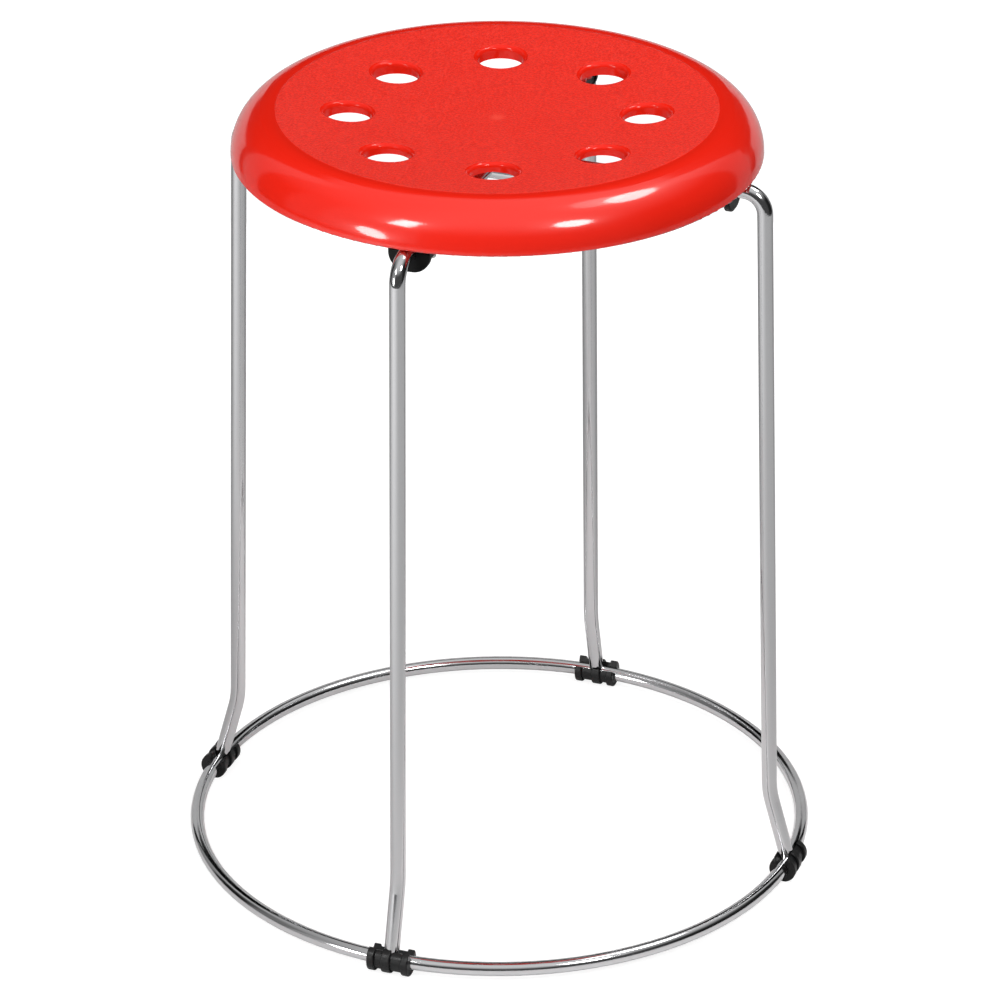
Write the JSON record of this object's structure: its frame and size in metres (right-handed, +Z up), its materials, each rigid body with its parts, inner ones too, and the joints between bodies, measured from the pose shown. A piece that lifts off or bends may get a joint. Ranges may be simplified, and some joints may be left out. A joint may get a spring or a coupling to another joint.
{
  "type": "stacking stool",
  "caption": "Round moulded seat with a dished top and holes, on crossed bent-rod hoops joined by a ring at the floor.",
  "frame": {"origin": "on the floor, under the middle of the seat", "axes": "+Z up along the stool's axis, X and Y along the two hoops, with the lower hoop's legs on X and the upper hoop's on Y"},
  "size_m": [0.3814, 0.3814, 0.4654],
  "materials": {
    "seat_plastic": "glossy rim, finely grained matt top",
    "plated_rod": "bright chrome plating",
    "black_plastic": "semi-matt moulded plastic",
    "screw_steel": "zinc plated"
  },
  "bodies": {
    "root": {"seat": "seat_plastic", "leg_hoop_upper": "plated_rod", "leg_hoop_lower": "plated_rod", "base_ring": "plated_rod", "foot_clip_right": "black_plastic", "foot_clip_back": "black_plastic", "foot_clip_left": "black_plastic", "foot_clip_front": "black_plastic", "seat_clamp_right": "black_plastic", "seat_clamp_back": "black_plastic", "seat_clamp_left": "black_plastic", "seat_clamp_front": "black_plastic", "clamp_screws_right": "screw_steel", "clamp_screws_back": "screw_steel", "clamp_screws_left": "screw_steel", "clamp_screws_front": "screw_steel"}
  },
  "joints": []
}
